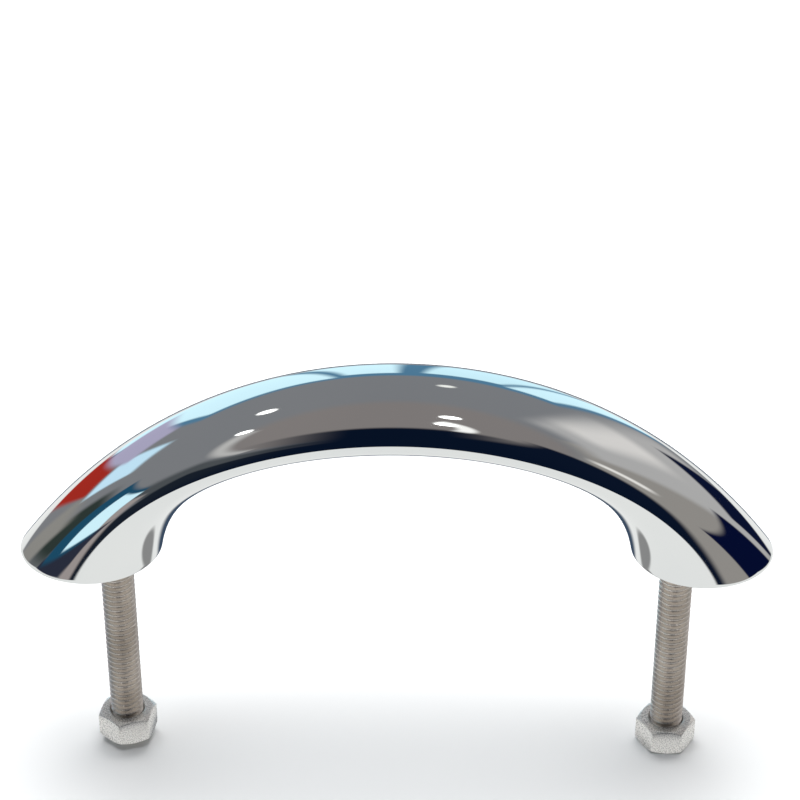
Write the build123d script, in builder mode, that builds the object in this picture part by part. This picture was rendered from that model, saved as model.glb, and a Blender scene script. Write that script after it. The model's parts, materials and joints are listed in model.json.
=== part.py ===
from build123d import *
from math import sqrt, tan, radians
import os

os.makedirs("parts", exist_ok=True)

# Sizes are in millimetres. X runs along the rail, Z points up, and the face of the deck that
# the rail stands on is Z = 0. The origin is midway between the two studs.

# Rail casting
half_length = 89.4        # centre to where a nose would end if its edge were sharp
crown_height = 44.8       # deck to the top of the crown
finger_height = 31.1      # deck to the underside of the crown
neck_half_gap = 56.2      # centre to the inner wall of each neck
neck_dip = 8.4            # how far below the deck the curve of the gap would run on
crown_reach = 34.8        # how far the pull of the level underside reaches sideways
neck_reach = 20.0         # deck to where the pull of the upright neck ends
fan_lag = 0.437           # how far the sections' inner ends trail behind their outer ends
crown_half_width = 17.3
foot_half_width = 17.05
waist_depth = 0.95        # how far each side is drawn in above the foot
waist_power = 3.24        # how close the waist is to the foot
span_count = 12           # lofted spans between the crown and a foot
edge_radius = 0.5         # polished edge round the sole of each foot

# Threaded studs, 5/16-18 UNC, as plain rods
stud_spacing = 133.35
stud_radius = 3.97        # outside of the thread
pitch_radius = 3.51       # where the thread of the stud meets that of the tapped hole
start_radius = 3.8        # the thread's start, from the nut down to the tip
stud_drop = 56.6          # deck to the lower tip of the stud
hole_depth = 12.0
mouth_radius = 4.3        # countersink at the mouth of the tapped hole
drill_point_angle = 118
stud_chamfer = 0.8

# Hexagon nuts for the same thread
nut_across_flats = 12.7
nut_height = 6.75
nut_face_radius = 6.05    # round face left inside the corner chamfers
nut_chamfer_angle = 30
nut_turns = {"left": 20.0, "right": -2.0}
nut_lifts = {"left": 1.7, "right": 0.0}   # tip of the stud to the lower face of the nut
bore_radius = stud_radius + 0.05
bore_chamfer = 0.45


def section_sketch(share):
    """Elliptical section at a share of the way from the crown (0) to a nose (1).

    It spans one point of the outer profile and one of the inner, so the sections fan round
    the finger gap. The last one slopes down from the nose to below the deck plane.
    """
    outer = crown_arc @ ((1 + share) / 2)
    inner = grip_curve @ (share * (1 - fan_lag * (1 - share**2)))
    across = outer - inner
    pinch = share**waist_power
    taper = (foot_half_width - crown_half_width) * share**2
    half_width = crown_half_width + taper - 4 * waist_depth * pinch * (1 - pinch)
    middle = Plane(origin=(outer + inner) / 2, x_dir=across, z_dir=across.cross(Vector(0, 1, 0)))
    with BuildSketch(middle) as section:
        Ellipse(across.length / 2, half_width)
    return section.sketch


def build_stud(x, nut_top):
    """Stud on the vertical line at x: tapped end, free length, then the thread's start."""
    with BuildPart() as stud:
        with BuildSketch(Plane.XZ):
            with BuildLine():
                Polyline(
                    (0, hole_depth),
                    (pitch_radius, hole_depth),
                    (pitch_radius, 0),
                    (stud_radius, 0),
                    (stud_radius, nut_top),
                    (start_radius, nut_top),
                    (start_radius, stud_chamfer - stud_drop),
                    (start_radius - stud_chamfer, -stud_drop),
                    (0, -stud_drop),
                    close=True,
                )
            make_face()
        revolve(axis=Axis.Z)
    return stud.part.moved(Location((x, 0, 0)))


def build_nut(x, nut_top, turn):
    """Hexagon nut with its top face at nut_top, its corners chamfered above and below."""
    nut_foot = nut_top - nut_height
    corner_radius = nut_across_flats / sqrt(3)
    corner_drop = (corner_radius - nut_face_radius) * tan(radians(nut_chamfer_angle))
    with BuildPart() as nut:
        with BuildSketch(Plane.XY.offset(nut_foot)):
            RegularPolygon(corner_radius, 6, rotation=turn)
            Circle(bore_radius, mode=Mode.SUBTRACT)
        extrude(amount=nut_height)
        chamfer(nut.edges().filter_by(GeomType.CIRCLE), bore_chamfer)
        with BuildSketch(Plane.XZ):
            with BuildLine():
                Polyline(
                    (0, nut_foot),
                    (nut_face_radius, nut_foot),
                    (corner_radius, nut_foot + corner_drop),
                    (corner_radius, nut_top - corner_drop),
                    (nut_face_radius, nut_top),
                    (0, nut_top),
                    close=True,
                )
            make_face()
        revolve(axis=Axis.Z, mode=Mode.INTERSECT)
    return nut.part.moved(Location((x, 0, 0)))


# Outlines of the rail seen from the side: one arc over the top, and half of the finger gap
with BuildLine(Plane.XZ):
    crown_arc = ThreePointArc((-half_length, 0), (0, crown_height), (half_length, 0))
    grip_curve = Bezier(
        (0, finger_height),
        (crown_reach, finger_height),
        (neck_half_gap, neck_reach),
        (neck_half_gap, -neck_dip),
    )

# The arched casting, trimmed flat at the deck, with a blind tapped hole in each foot
with BuildPart() as rail_casting:
    loft(sections=[section_sketch(step / span_count) for step in range(span_count + 1)])
    split(bisect_by=Plane.XY, keep=Keep.TOP)
    sole = rail_casting.faces().sort_by(Axis.Z)[0]
    fillet(sole.edges(), edge_radius)
    mirror(about=Plane.YZ)
    with BuildSketch(Plane.XY):
        with GridLocations(stud_spacing, 0, 2, 1):
            Circle(pitch_radius)
    extrude(amount=hole_depth, mode=Mode.SUBTRACT)
    for x in (-stud_spacing / 2, stud_spacing / 2):
        with Locations((x, 0, 0)):
            Cone(mouth_radius, pitch_radius, mouth_radius - pitch_radius,
                 align=(Align.CENTER, Align.CENTER, Align.MIN), mode=Mode.SUBTRACT)
        with Locations((x, 0, hole_depth)):
            Cone(pitch_radius, 0, pitch_radius / tan(radians(drill_point_angle / 2)),
                 align=(Align.CENTER, Align.CENTER, Align.MIN), mode=Mode.SUBTRACT)

rail_casting.part.label = "rail_casting"
export_step(rail_casting.part, "parts/rail_casting.step")

for side, x in (("left", -stud_spacing / 2), ("right", stud_spacing / 2)):
    nut_top = nut_height + nut_lifts[side] - stud_drop
    stud = build_stud(x, nut_top)
    stud.label = f"{side}_stud"
    export_step(stud, f"parts/{side}_stud.step")
    nut = build_nut(x, nut_top, nut_turns[side])
    nut.label = f"{side}_nut"
    export_step(nut, f"parts/{side}_nut.step")
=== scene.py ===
import bmesh
import bpy
import json
import numpy as np
from math import atan, atan2, cos, pi, radians, sin, sqrt, tan
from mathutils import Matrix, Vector


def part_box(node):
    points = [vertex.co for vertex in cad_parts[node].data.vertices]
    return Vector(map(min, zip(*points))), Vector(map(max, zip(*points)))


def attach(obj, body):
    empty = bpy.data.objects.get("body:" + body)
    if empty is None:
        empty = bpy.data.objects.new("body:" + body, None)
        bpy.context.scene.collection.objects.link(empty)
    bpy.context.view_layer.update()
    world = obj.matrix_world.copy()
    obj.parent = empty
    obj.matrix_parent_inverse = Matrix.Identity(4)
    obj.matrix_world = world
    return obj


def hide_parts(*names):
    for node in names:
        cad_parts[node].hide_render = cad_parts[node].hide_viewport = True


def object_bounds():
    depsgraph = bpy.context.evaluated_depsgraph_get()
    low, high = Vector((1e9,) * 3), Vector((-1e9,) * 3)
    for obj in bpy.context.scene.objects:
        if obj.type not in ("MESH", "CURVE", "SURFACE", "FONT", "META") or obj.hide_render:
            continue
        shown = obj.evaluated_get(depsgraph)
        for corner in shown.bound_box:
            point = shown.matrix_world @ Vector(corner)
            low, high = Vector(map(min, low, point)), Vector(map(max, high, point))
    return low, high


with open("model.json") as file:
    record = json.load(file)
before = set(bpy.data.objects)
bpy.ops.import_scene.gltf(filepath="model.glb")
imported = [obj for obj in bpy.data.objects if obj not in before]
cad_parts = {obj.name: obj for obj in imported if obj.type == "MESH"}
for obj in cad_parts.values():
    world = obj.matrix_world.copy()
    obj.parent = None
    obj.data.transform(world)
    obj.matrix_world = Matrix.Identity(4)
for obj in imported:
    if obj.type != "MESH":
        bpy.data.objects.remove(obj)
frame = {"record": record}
cad_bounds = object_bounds()
record = frame["record"]
mounts = {mount["name"]: mount for mount in record["mounts"]}

# Shared sizes in metres, from the frame
_, crown_half_width, crown_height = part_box("rail_casting")[1]
stud_x = mounts["studs"]["dims"]["spacing_x_mm"] / 2000
stud_radius = mounts["studs"]["dims"]["stud_r_mm"] / 1000

# The rail's outline, as in the CAD model
half_length = 0.0894        # centre to where a nose would end if its edge were sharp
finger_height = 0.0311      # deck to the underside of the crown
neck_half_gap = 0.0562      # centre to the inner wall of each neck
crown_reach = 0.0348        # how far the pull of the level underside reaches sideways
neck_reach = 0.0200         # deck to where the pull of the upright neck ends
neck_dip = 0.0084           # how far below the deck the curve of the gap would run on
foot_half_width = 0.01705
fan_lag = 0.437             # how far the sections' inner ends trail behind their outer ends
waist_depth = 0.00095       # how far each side is drawn in above the foot
waist_power = 3.24          # how close the waist is to the foot
edge_radius = 0.0005        # polished edge round the sole of each foot

# The tapped holes
hole_depth = 0.012
drill_point_slope = radians(31)
hole_clearance = 0.00012    # wall of the hole to the outside of the stud
mouth_clearance = 0.00033
mouth_depth = 0.0003

# The thread, 5/16-18 UNC
thread_pitch = 0.0254 / 18
thread_depth = 0.6134 * thread_pitch
crest_share = 0.14          # share of a pitch that is flat at the crest
root_share = 0.22           # share of a pitch that is flat at the root
tip_inset = 0.0002          # root of the thread to the edge of the stud's end face

# The nuts
nut_apothem = 0.00635
nut_face_radius = 0.00605   # round face left inside the corner chamfers
nut_chamfer_slope = tan(radians(30))
nut_corner_radius = 0.0002
nut_edge_bevel = 0.00012
nut_mouth_clearance = 0.00042
nut_bore_clearance = 0.00006
nut_mouth_depth = 0.00045
nut_turns = {"left": 20, "right": -2}


# ---------------------------------------------------------------- mesh helpers

def mesh_object(name, points, faces):
    """A smooth-shaded mesh object in the row frame."""
    mesh = bpy.data.meshes.new(name)
    mesh.from_pydata([tuple(point) for point in points], [], faces)
    mesh.validate()
    mesh.update()
    mesh.shade_smooth()
    made = bpy.data.objects.new(name, mesh)
    bpy.context.scene.collection.objects.link(made)
    return made


def tube_faces(ring_count, ring_size):
    """Quads between consecutive closed rings of points."""
    faces = []
    for ring in range(ring_count - 1):
        for step in range(ring_size):
            here = ring * ring_size
            after = (step + 1) % ring_size
            faces.append((here + step, here + after, here + ring_size + after, here + ring_size + step))
    return faces


def capped_tube(name, rings, first_tip, last_tip):
    """A closed skin over a row of rings, with a fan to a tip point at each end."""
    ring_count, ring_size = len(rings), len(rings[0])
    points = [point for ring in rings for point in ring] + [first_tip, last_tip]
    faces = tube_faces(ring_count, ring_size)
    first, last = ring_count * ring_size, ring_count * ring_size + 1
    last_ring = (ring_count - 1) * ring_size
    for step in range(ring_size):
        after = (step + 1) % ring_size
        faces.append((first, after, step))
        faces.append((last, last_ring + step, last_ring + after))
    return mesh_object(name, points, faces)


# ---------------------------------------------------------------- rail casting

arc_radius = (half_length**2 + crown_height**2) / (2 * crown_height)
arc_half_angle = 2 * atan(crown_height / half_length)


def outer_profile(share):
    """Point (x, z) on the arc over the top, from the crown (0) to a nose (1 or -1)."""
    angle = arc_half_angle * share
    return arc_radius * np.sin(angle), crown_height - arc_radius * (1 - np.cos(angle))


def inner_profile(share):
    """Point (x, z) on the curve round the finger gap, for the same share."""
    along = np.abs(share) * (1 - fan_lag * (1 - share**2))
    back = 1 - along
    pull_one, pull_two = 3 * along * back**2, 3 * along**2 * back
    x = pull_one * crown_reach + pull_two * neck_half_gap + along**3 * neck_half_gap
    z = (back**3 + pull_one) * finger_height + pull_two * neck_reach - along**3 * neck_dip
    return np.sign(share) * x, z


def rail_point(share, turn):
    """Point on the rail's skin: the elliptical section at this share, at this turn round it."""
    outer_x, outer_z = outer_profile(share)
    inner_x, inner_z = inner_profile(share)
    pinch = np.abs(share)**waist_power
    taper = (foot_half_width - crown_half_width) * share**2
    half_width = crown_half_width + taper - 4 * waist_depth * pinch * (1 - pinch)
    x = (outer_x + inner_x) / 2 + (outer_x - inner_x) / 2 * np.cos(turn)
    z = (outer_z + inner_z) / 2 + (outer_z - inner_z) / 2 * np.cos(turn)
    return np.stack([x, half_width * np.sin(turn), z], axis=-1)


def sole_share(turns):
    """Share at which the skin of the right half comes down to the deck plane, at each turn."""
    low, high = np.full_like(turns, 0.5), np.ones_like(turns)
    halvings = 50
    for _ in range(halvings):
        middle = (low + high) / 2
        above = rail_point(middle, turns)[:, 2] > 0
        low, high = np.where(above, middle, low), np.where(above, high, middle)
    return high


def unit(vectors):
    """The same vectors at length 1."""
    return vectors / np.linalg.norm(vectors, axis=1, keepdims=True)


def foot_rings(turns):
    """Rings of the right foot, from the rounded edge of its sole in to the end of the stud hole.

    Also gives the share at which the side wall ends, at each turn, and the rounded edge begins.
    """
    step = 1e-4
    ends = sole_share(turns)
    edge = rail_point(ends, turns)
    upward = rail_point(ends - step, turns) - edge
    rise = np.linalg.norm(upward, axis=1) / step
    ahead = rail_point(sole_share(turns + step), turns + step)
    astern = rail_point(sole_share(turns - step), turns - step)
    along_edge = unit(ahead - astern)
    upward = unit(upward - np.sum(upward * along_edge, axis=1, keepdims=True) * along_edge)
    inward = np.cross(along_edge, (0, 0, 1))
    middle_x = (edge[:, 0].min() + edge[:, 0].max()) / 2
    inward *= -np.sign(np.sum(inward * (edge - (middle_x, 0, 0)), axis=1, keepdims=True))
    wedge = np.arccos(np.sum(upward * inward, axis=1))
    setback = edge_radius / np.tan(wedge / 2)
    round_centre = edge + unit(upward + inward) * (edge_radius / np.sin(wedge / 2))[:, None]
    start = edge + upward * setback[:, None] - round_centre
    finish = edge + inward * setback[:, None] - round_centre
    opening = np.arccos(np.clip(np.sum(start * finish, axis=1) / edge_radius**2, -1, 1))
    rings = []
    edge_steps = 6
    for number in range(1, edge_steps + 1):
        part = number / edge_steps
        mix_start = (np.sin((1 - part) * opening) / np.sin(opening))[:, None]
        mix_finish = (np.sin(part * opening) / np.sin(opening))[:, None]
        rings.append(round_centre + start * mix_start + finish * mix_finish)
    rim = rings[-1]

    def hole_ring(radius, height):
        level = np.full_like(turns, height)
        return np.stack([stud_x + radius * np.cos(turns), radius * np.sin(turns), level], axis=-1)

    mouth_radius, wall_radius = stud_radius + mouth_clearance, stud_radius + hole_clearance
    mouth = hole_ring(mouth_radius, 0)
    for part in (0.03, 0.3, 0.6, 0.9, 0.985, 1.0):
        rings.append(rim + (mouth - rim) * part)
    rings.append(hole_ring(mouth_radius - 0.00004, mouth_depth / 10))
    rings.append(hole_ring(wall_radius + 0.00003, mouth_depth / 1.2))
    for height in (mouth_depth, 0.4 * hole_depth, hole_depth):
        rings.append(hole_ring(wall_radius, height))
    return rings, ends - setback / rise


def build_rail():
    """The whole casting as one closed tube: left hole, left foot, arch, right foot, right hole."""
    section_count, ring_size = 361, 168
    turns = np.linspace(0, 2 * pi, ring_size, endpoint=False)
    foot, wall_end = foot_rings(turns)
    rings = [ring * (-1, 1, 1) for ring in reversed(foot)]
    for share in np.linspace(-1, 1, section_count):
        rings.append(rail_point(share * wall_end, turns))
    rings += foot
    tip_height = hole_depth + stud_radius * tan(drill_point_slope)
    rail = capped_tube("rail", rings, (-stud_x, 0, tip_height), (stud_x, 0, tip_height))
    rail.data.materials.append(mirror_steel())
    rail.data.materials.append(sole_steel())
    for face in rail.data.polygons:
        corners = [rail.data.vertices[index].co for index in face.vertices]
        top = max(corner.z for corner in corners)
        from_stud_line = max(sqrt((abs(corner.x) - stud_x)**2 + corner.y**2) for corner in corners)
        on_sole = top < 1e-7
        in_hole = from_stud_line < 1.1 * stud_radius and top < 1.01 * tip_height
        if on_sole or in_hole:
            face.material_index = 1
    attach(rail, "rail")
    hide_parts("rail_casting")


# ---------------------------------------------------------------- studs

def thread_height(phase):
    """How far the thread stands out of its root, from 0 to 1, over one pitch of phase."""
    flank_share = (1 - crest_share - root_share) / 2
    from_root_middle = abs(phase - root_share / 2)
    climb = (min(from_root_middle, 1 - from_root_middle) - root_share / 2) / flank_share
    return min(max(climb, 0.0), 1.0)


def helix_rings(low, high, radius_at, phases, steps_round):
    """Rows of points that climb as a helix between two heights, along the thread's crests and roots.

    Each row starts at the height of its phase and climbs one pitch on its way round, so its last
    point meets the row one pitch further on.
    """
    rows_per_pitch = len(phases)
    first = int(low / thread_pitch) - 2
    last = int(high / thread_pitch) + 2
    rows = []
    for pitch_number in range(first, last + 1):
        for phase in phases:
            rows.append(((pitch_number + phase) * thread_pitch, phase))
    points = []
    for height, phase in rows:
        for step in range(steps_round):
            turn = step / steps_round
            clipped = min(max(height + turn * thread_pitch, low), high)
            radius = radius_at(clipped, phase)
            points.append((radius * cos(2 * pi * turn), radius * sin(2 * pi * turn), clipped))
    faces = []
    for row in range(len(rows) - 1):
        for step in range(steps_round):
            here = row * steps_round + step
            if step + 1 < steps_round:
                beside, above_beside = here + 1, here + 1 + steps_round
            else:
                beside = (row + rows_per_pitch) * steps_round
                above_beside = beside + steps_round
            if above_beside < len(points):
                faces.append((here, beside, above_beside, here + steps_round))
    return points, faces


def clean_mesh(made, distance=2e-6):
    """Merges points that fell together, drops faces that closed up and fills what is open."""
    work = bmesh.new()
    work.from_mesh(made.data)
    bmesh.ops.remove_doubles(work, verts=work.verts, dist=distance)
    bmesh.ops.dissolve_degenerate(work, edges=work.edges, dist=distance)
    loose = [vert for vert in work.verts if not vert.link_faces]
    bmesh.ops.delete(work, geom=loose, context="VERTS")
    bmesh.ops.holes_fill(work, edges=[edge for edge in work.edges if edge.is_boundary])
    bmesh.ops.recalc_face_normals(work, faces=work.faces)
    work.to_mesh(made.data)
    work.free()


def build_stud(side):
    """A threaded rod on its CAD node's line, chamfered at the tip."""
    low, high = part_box(f"{side}_stud")
    centre_x = (low[0] + high[0]) / 2
    bottom, top = low[2], high[2]
    root_radius = stud_radius - thread_depth
    end_radius = root_radius - tip_inset

    def radius_at(z, phase):
        threaded = root_radius + thread_depth * thread_height(phase)
        chamfered = end_radius + min(z - bottom, top - z)
        return min(threaded, chamfered)

    phases = [0.0, 0.11, 0.2, 0.25, 0.4, 0.5, 0.54, 0.61, 0.68, 0.72, 0.82, 0.97]
    points, faces = helix_rings(bottom, top, radius_at, phases, steps_round=72)
    made = mesh_object(f"{side}_threaded_stud", [(x + centre_x, y, z) for x, y, z in points], faces)
    clean_mesh(made)
    made.data.materials.append(stud_steel())
    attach(made, "rail")
    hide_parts(f"{side}_stud")


# ---------------------------------------------------------------- nuts

def hexagon_radius(angle):
    """Distance to the side of the nut's hexagon, with rounded corners, at an angle from a flat's middle."""
    from_flat = abs((angle + pi / 6) % (pi / 3) - pi / 6)
    inner = nut_apothem - nut_corner_radius
    round_start = atan2(inner * tan(pi / 6), nut_apothem)
    if from_flat <= round_start:
        return nut_apothem / cos(from_flat)
    reach = inner / cos(pi / 6)
    off_corner = pi / 6 - from_flat
    return reach * cos(off_corner) + sqrt(nut_corner_radius**2 - (reach * sin(off_corner))**2)


def build_nut(side):
    """A hexagon nut: chamfered corners, countersunk mouths and a plain bore."""
    low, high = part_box(f"{side}_nut")
    centre_x = stud_x if side == "right" else -stud_x
    bottom, top = low[2], high[2]
    bore_radius = stud_radius + nut_bore_clearance
    mouth_radius = stud_radius + nut_mouth_clearance
    steps = 240
    angles = [2 * pi * step / steps for step in range(steps)]
    start_angle = radians(nut_turns[side]) - pi / 2

    def round_ring(radius, z):
        return [(centre_x + radius * cos(angle + start_angle), radius * sin(angle + start_angle), z)
                for angle in angles]

    def hexagon_ring(inset, drop, from_top):
        ring = []
        for angle in angles:
            side_radius = hexagon_radius(angle)
            corner_drop = max(0.0, side_radius - nut_face_radius) * nut_chamfer_slope
            radius = side_radius - inset
            z = (top - corner_drop - drop) if from_top else (bottom + corner_drop + drop)
            ring.append((centre_x + radius * cos(angle + start_angle), radius * sin(angle + start_angle), z))
        return ring

    # Rings of either face, from the bore out to the chamfers: radius, and drop below the face
    face_rings = [
        (bore_radius, nut_mouth_depth),
        (mouth_radius, 0.00005),
        (mouth_radius + 0.00006, 0.0),
        (0.5 * (mouth_radius + nut_face_radius), 0.0),
        (nut_face_radius - 0.0001, 0.0),
        (nut_face_radius + 0.00004, 0.00001),
    ]
    # Rings of the softened edge between the chamfers and the flats: inset, and drop
    middle_bevel = 0.3 * nut_edge_bevel
    bevel_rings = [(nut_edge_bevel, 0.0), (middle_bevel, middle_bevel), (0.0, nut_edge_bevel)]
    rings = [round_ring(bore_radius, (bottom + top) / 2)]
    rings += [round_ring(radius, top - drop) for radius, drop in face_rings]
    rings += [hexagon_ring(inset, drop, True) for inset, drop in bevel_rings]
    rings += [hexagon_ring(inset, drop, False) for inset, drop in reversed(bevel_rings)]
    rings += [round_ring(radius, bottom + drop) for radius, drop in reversed(face_rings)]
    points = [point for ring in rings for point in ring]
    faces = tube_faces(len(rings), steps)
    last = (len(rings) - 1) * steps
    for step in range(steps):
        after = (step + 1) % steps
        faces.append((last + step, last + after, after, step))
    made = mesh_object(f"{side}_hex_nut", points, faces)
    clean_mesh(made)
    made.data.materials.append(nut_steel())
    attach(made, f"{side}_nut")
    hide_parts(f"{side}_nut")


# ---------------------------------------------------------------- materials

def new_material(name, color, metallic, roughness):
    """A node material and its nodes, links and shader."""
    material = bpy.data.materials.new(name)
    material.use_nodes = True
    nodes, links = material.node_tree.nodes, material.node_tree.links
    shader = nodes["Principled BSDF"]
    shader.inputs["Base Color"].default_value = (*color, 1)
    shader.inputs["Metallic"].default_value = metallic
    shader.inputs["Roughness"].default_value = roughness
    return material, nodes, links, shader


def noise(nodes, links, scale, detail):
    """A noise texture in object space."""
    place = nodes.new("ShaderNodeTexCoord")
    texture = nodes.new("ShaderNodeTexNoise")
    texture.inputs["Scale"].default_value = scale
    texture.inputs["Detail"].default_value = detail
    links.new(place.outputs["Object"], texture.inputs["Vector"])
    return texture


def ramp_between(nodes, links, source, low, high):
    """Maps the middle of a noise texture's output to a range of values."""
    remap = nodes.new("ShaderNodeMapRange")
    remap.inputs["From Min"].default_value = 0.35
    remap.inputs["From Max"].default_value = 0.65
    remap.inputs["To Min"].default_value = low
    remap.inputs["To Max"].default_value = high
    links.new(source, remap.inputs["Value"])
    return remap.outputs["Result"]


def tint_between(nodes, links, source, first, second):
    """Mixes two colours by a value."""
    mix = nodes.new("ShaderNodeMix")
    mix.data_type = "RGBA"
    mix.inputs["A"].default_value = (*first, 1)
    mix.inputs["B"].default_value = (*second, 1)
    links.new(source, mix.inputs["Factor"])
    return mix.outputs["Result"]


def bump(nodes, links, shader, source, strength, distance):
    """Bump from a height source."""
    made = nodes.new("ShaderNodeBump")
    made.inputs["Strength"].default_value = strength
    made.inputs["Distance"].default_value = distance
    links.new(source, made.inputs["Height"])
    links.new(made.outputs["Normal"], shader.inputs["Normal"])


def tint_by(nodes, links, shader, texture, first, second):
    """Varies the base colour between two colours by a noise texture."""
    mixed = ramp_between(nodes, links, texture.outputs["Fac"], 0, 1)
    links.new(tint_between(nodes, links, mixed, first, second), shader.inputs["Base Color"])


def roughen_by(nodes, links, shader, texture, low, high):
    """Varies the roughness between two values by a noise texture."""
    links.new(ramp_between(nodes, links, texture.outputs["Fac"], low, high), shader.inputs["Roughness"])


def mirror_steel():
    """Buffed casting: nearly a mirror, with the faint waviness and haze that buffing leaves."""
    material, nodes, links, shader = new_material("mirror_steel", (0.72, 0.735, 0.735), 1.0, 0.03)
    roughen_by(nodes, links, shader, noise(nodes, links, 90, 4), 0.015, 0.05)
    tint_by(nodes, links, shader, noise(nodes, links, 35, 2), (0.71, 0.725, 0.725), (0.735, 0.745, 0.74))
    waves = noise(nodes, links, 55, 1)
    bump(nodes, links, shader, waves.outputs["Fac"], 1.0, 0.00002)
    return material


def sole_steel():
    """Ground underside of the feet and the drilled holes."""
    material, nodes, links, shader = new_material("sole_steel", (0.6, 0.6, 0.59), 1.0, 0.35)
    grain = noise(nodes, links, 1800, 2)
    roughen_by(nodes, links, shader, grain, 0.28, 0.45)
    bump(nodes, links, shader, grain.outputs["Fac"], 0.4, 0.00003)
    return material


def stud_steel():
    """Rolled thread: warm grey steel, a little darker in patches."""
    material, nodes, links, shader = new_material("stud_steel", (0.66, 0.61, 0.56), 1.0, 0.3)
    tint_by(nodes, links, shader, noise(nodes, links, 90, 3), (0.61, 0.56, 0.51), (0.73, 0.68, 0.63))
    grain = noise(nodes, links, 4000, 2)
    roughen_by(nodes, links, shader, grain, 0.26, 0.38)
    bump(nodes, links, shader, grain.outputs["Fac"], 0.15, 0.00001)
    return material


def nut_steel():
    """Satin steel of a pressed nut, part of whose light is soft."""
    material, nodes, links, shader = new_material("nut_steel", (0.70, 0.685, 0.66), 0.6, 0.3)
    tint_by(nodes, links, shader, noise(nodes, links, 160, 3), (0.68, 0.665, 0.64), (0.73, 0.715, 0.69))
    grain = noise(nodes, links, 3000, 3)
    roughen_by(nodes, links, shader, grain, 0.24, 0.32)
    bump(nodes, links, shader, grain.outputs["Fac"], 0.05, 0.00001)
    return material


# ---------------------------------------------------------------- studio

def node_math(nodes, links, operation, *values):
    """A math node over sockets and plain numbers, and its result."""
    made = nodes.new("ShaderNodeMath")
    made.operation = operation
    for socket, value in zip(made.inputs, values):
        if isinstance(value, (int, float)):
            socket.default_value = value
        else:
            links.new(value, socket)
    return made.outputs[0]


def node_slide(nodes, links, value, start, end, low=0.0, high=1.0, smooth=True):
    """Goes from low to high as the value goes from start to end."""
    made = nodes.new("ShaderNodeMapRange")
    if smooth:
        made.interpolation_type = "SMOOTHSTEP"
    links.new(value, made.inputs["Value"])
    for name, number in (("From Min", start), ("From Max", end), ("To Min", low), ("To Max", high)):
        made.inputs[name].default_value = number
    return made.outputs["Result"]


def node_between(nodes, links, value, low, high, soft):
    """1 where the value is between low and high, falling to 0 over the soft width."""
    rise = node_slide(nodes, links, value, low - soft, low + soft)
    fall = node_slide(nodes, links, value, high + soft, high - soft)
    return node_math(nodes, links, "MULTIPLY", rise, fall)


def node_lay(nodes, links, under, color, mask):
    """Lays a colour over another colour or a colour socket, where the mask is 1."""
    mix = nodes.new("ShaderNodeMix")
    mix.data_type = "RGBA"
    if isinstance(under, tuple):
        mix.inputs["A"].default_value = (*under, 1)
    else:
        links.new(under, mix.inputs["A"])
    mix.inputs["B"].default_value = (*color, 1)
    links.new(mask, mix.inputs["Factor"])
    return mix.outputs["Result"]


daylight = (0.83, 1.17, 1.3)
soft_daylight = (0.78, 1.12, 1.25)
# Painted shade: the grey of the floor beneath the rail, where the rail shadows it, as the steel sees it
floor_shade_grey = (0.32, 0.32, 0.32)
white_paper = (1.0, 1.01, 1.0)
room = (0.25, 0.257, 0.275)
dark_side = (0.003, 0.008, 0.024)
level_edge_limit = 4

# Panels of the studio as the steel sees them: name, colour, azimuth from and to, elevation from and to,
# edge softness and lean. Angles are in degrees; azimuth 0 is straight behind the rail and 90 is to its
# right. A leaning panel shifts sideways by the lean for every degree above its lower edge.
panels = [
    ("warm ceiling", (0.28, 0.255, 0.25), -180, 180, 52, 95, 10, 0),
    ("left shade", (0.09, 0.10, 0.11), -160, -104, 14, 48, 9, 0),
    ("left ceiling edge", (0.62, 0.61, 0.60), -122, -52, 50, 54, 2, 0),
    ("far right wall", (0.36, 0.34, 0.32), 55, 150, -14, 50, 3, 0),
    ("right wall", (0.54, 0.53, 0.53), 22, 60, -4, 46, 5, 0.25),
    ("bright right wall", (0.87, 0.84, 0.82), 29, 44, 16, 38, 6, 0.25),
    ("right shade", (0.004, 0.009, 0.026), 154, 300, -28, 62, 4, -0.71),
    ("wall light", (1.05, 1.02, 0.98), 92, 99, 32, 48, 3, -0.55),
    ("ceiling light", (1.3, 1.28, 1.25), 34, 120, 74, 78, 1.2, 0),
    ("dark green", (0.035, 0.05, 0.045), -94, -68, 2, 24, 4, 0),
    ("grey clutter", (0.33, 0.32, 0.30), -74, -52, -6, 12, 4, 0),
    ("window frame", (0.10, 0.25, 0.40), -30, 22, -8, 20, 1.5, 0),
    ("window one", daylight, -27, -8.5, -10, 18, 0.8, 0),
    ("window two", daylight, -7, -0.5, -14, 16, 0.8, 0),
    ("window three", soft_daylight, 2.5, 12, -16, 15, 0.8, 0),
    ("window four", daylight, 13.2, 20, -12, 17, 0.8, 0),
    ("side window", (0.70, 1.0, 1.2), -56, -40, 12, 24, 1.5, 0),
    ("lilac panel", (0.50, 0.47, 0.66), -32, -20, -3, 15, 1.5, -0.6),
    ("red panel", (0.45, 0.03, 0.02), -32, -21, -12, 11, 1.5, -0.9),
    ("left dark", (0.012, 0.018, 0.03), -190, -145, -30, 34, 3, 0.3),
    ("left post", (0.42, 0.37, 0.36), -146, -134, -16, 22, 2, 0.6),
    ("left sill", (0.03, 0.035, 0.06), -133, -92, -8, 4, 1.5, 0),
    ("left frame", (0.015, 0.09, 0.17), -128, -95, 2, 31, 1.5, 0.7),
    ("left window", daylight, -127, -107, 4, 28, 1, 0.7),
    ("dark cupboard", (0.002, 0.005, 0.035), 60, 107, -6, 14, 1.5, 0),
    ("low cupboard", (0.004, 0.008, 0.035), 30, 52, -8, 6, 1.2, 0),
]

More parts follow.
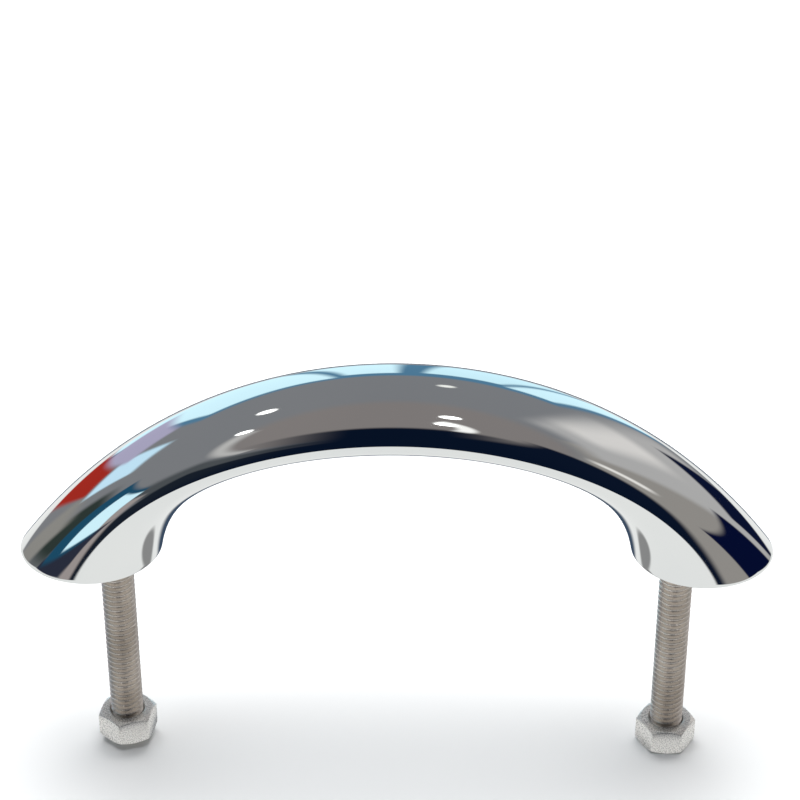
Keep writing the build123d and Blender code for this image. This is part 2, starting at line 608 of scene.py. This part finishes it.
# Round spots in the same surroundings: name, colour, azimuth, elevation, inner and outer radius in degrees
spots = [
    ("lamp one", (7, 7, 6.8), 26, 67, 0.9, 2.6),
    ("lamp two", (1.2, 1.2, 1.15), 7.5, 30.5, 0.6, 1.8),
    ("lamp three", (5, 5, 4.9), -51, 50, 0.7, 2.2),
    ("lamp four", (4, 4, 3.9), -29, 39, 0.6, 2.2),
    ("lamp five", (8, 8, 7.8), 52, 78, 0.7, 2.8),
    # These two grey spots are painted shade, the rail's shadow on the floor beneath it, seen in the steel
    ("painted floor shade left", floor_shade_grey, -56, -53, 8, 13),
    ("painted floor shade right", floor_shade_grey, 56, -53, 8, 13),
    ("far floor", (0.05, 0.08, 0.13), 0, -32, 14, 27),
]


def direction(azimuth, elevation):
    """Unit vector from the rail towards a place in the studio."""
    a, e = radians(azimuth), radians(elevation)
    return Vector((sin(a) * cos(e), cos(a) * cos(e), sin(e)))


def build_world():
    """Surroundings for the reflections: dark behind the camera, panels round the sides, pale below."""
    world = bpy.data.worlds.new("studio")
    bpy.context.scene.world = world
    world.use_nodes = True
    nodes, links = world.node_tree.nodes, world.node_tree.links
    place = nodes.new("ShaderNodeTexCoord")
    parts = nodes.new("ShaderNodeSeparateXYZ")
    links.new(place.outputs["Generated"], parts.inputs[0])
    sideways, away, upward = parts.outputs["X"], parts.outputs["Y"], parts.outputs["Z"]

    def math(operation, *values):
        return node_math(nodes, links, operation, *values)

    def slide(*values, **options):
        return node_slide(nodes, links, *values, **options)

    azimuth = math("MULTIPLY", math("ARCTAN2", sideways, away), 180 / pi)
    elevation = math("MULTIPLY", math("ARCSINE", upward), 180 / pi)
    color = room
    for name, panel_color, west, east, low, high, soft, lean in panels:
        shift = math("MULTIPLY", math("SUBTRACT", elevation, low), lean)
        across = node_between(nodes, links, math("SUBTRACT", azimuth, shift), west, east, soft)
        along = node_between(nodes, links, elevation, low, high, min(soft, level_edge_limit))
        mask = math("MULTIPLY", across, along)
        mask.node.label = name
        color = node_lay(nodes, links, color, panel_color, mask)
    # The dark side of the room behind the camera, up to overhead
    behind = math("MULTIPLY", slide(math("ABSOLUTE", sideways), 0.62, 0.16), slide(away, -0.04, -0.16))
    color = node_lay(nodes, links, color, dark_side, behind)
    # The pale floor: its edge, in degrees, is level at the rail's sides and lower in front and behind
    front_edge = slide(away, -1, 0, -22, 1, smooth=False)
    back_edge = slide(away, 0, 1, 0, -11, smooth=False)
    above_floor = math("SUBTRACT", elevation, math("ADD", front_edge, back_edge))
    color = node_lay(nodes, links, color, white_paper, slide(above_floor, 1, -1))
    for name, spot_color, spot_azimuth, spot_elevation, inner, outer in spots:
        facing = nodes.new("ShaderNodeVectorMath")
        facing.operation = "DOT_PRODUCT"
        facing.label = name
        links.new(place.outputs["Generated"], facing.inputs[0])
        facing.inputs[1].default_value = direction(spot_azimuth, spot_elevation)
        mask = slide(facing.outputs["Value"], cos(radians(outer)), cos(radians(inner)))
        color = node_lay(nodes, links, color, spot_color, mask)
    background = nodes["Background"]
    links.new(color, background.inputs["Color"])
    # Seen directly, the surroundings are a plain pale backdrop
    backdrop = nodes.new("ShaderNodeBackground")
    backdrop.inputs["Color"].default_value = (1, 1, 1, 1)
    path = nodes.new("ShaderNodeLightPath")
    choose = nodes.new("ShaderNodeMixShader")
    links.new(path.outputs["Is Camera Ray"], choose.inputs["Fac"])
    links.new(background.outputs["Background"], choose.inputs[1])
    links.new(backdrop.outputs["Background"], choose.inputs[2])
    links.new(choose.outputs["Shader"], nodes["World Output"].inputs["Surface"])


def area_light(name, azimuth, elevation, distance, size, power, mirrored):
    """A round area light that faces the rail; if it isn't mirrored, the steel doesn't reflect it."""
    light = bpy.data.lights.new(name, "AREA")
    light.shape = "DISK"
    light.size = size
    light.energy = power
    made = bpy.data.objects.new(name, light)
    bpy.context.scene.collection.objects.link(made)
    made.location = direction(azimuth, elevation) * distance
    made.rotation_euler = (-made.location).to_track_quat("-Z", "Y").to_euler()
    made.visible_glossy = mirrored
    return made


def build_floor():
    """Pale paper under the nuts, which the steel doesn't reflect: it sees the world's floor instead."""
    level = cad_bounds[0][2]
    half = 1.6
    floor = mesh_object("floor", [(-half, -half, level), (half, -half, level),
                                  (half, half, level), (-half, half, level)], [(0, 1, 2, 3)])
    material, _, _, shader = new_material("floor_paper", (0.86, 0.87, 0.87), 0.0, 0.9)
    shader.inputs["Specular IOR Level"].default_value = 0.1
    floor.data.materials.append(material)
    floor.visible_glossy = False


def build_lights():
    """Soft light from overhead, and two small lamps that light the studs only."""
    area_light("overhead", 0, 80, 1.6, 1.8, 46, mirrored=False)
    studs = bpy.data.collections.new("studs")
    for side in ("left", "right"):
        studs.objects.link(bpy.data.objects[f"{side}_threaded_stud"])
    for side, azimuth in (("left", -148), ("right", 150)):
        lamp = area_light(f"{side}_stud_lamp", azimuth, -3, 0.6, 0.03, 0.12, mirrored=True)
        lamp.light_linking.receiver_collection = studs


def build_camera():
    """The camera stands in front, about half a metre away, and looks down on the rail."""
    yaw, pitch, distance = 0.0142, 0.5408, 0.5183
    aim = Vector((0, 0, 0.030))
    # The rail stands a little below and left of the middle of the frame
    aim_past_right, aim_past_up = 0.000875, 0.008815
    back = Vector((sin(yaw) * cos(pitch), -cos(yaw) * cos(pitch), sin(pitch)))
    right = Vector((cos(yaw), sin(yaw), 0))
    up = back.cross(right)
    data = bpy.data.cameras.new("camera")
    data.sensor_width = 36
    data.lens = 101.3355
    data.clip_start = 0.01
    made = bpy.data.objects.new("camera", data)
    bpy.context.scene.collection.objects.link(made)
    made.location = aim + back * distance
    look = aim + right * aim_past_right + up * aim_past_up
    made.rotation_euler = (look - made.location).to_track_quat("-Z", "Y").to_euler()
    bpy.context.scene.camera = made


build_rail()
for side in ("left", "right"):
    build_stud(side)
for side in ("left", "right"):
    build_nut(side)
build_world()
build_floor()
build_lights()
build_camera()
bpy.context.scene.view_settings.view_transform = "Standard"
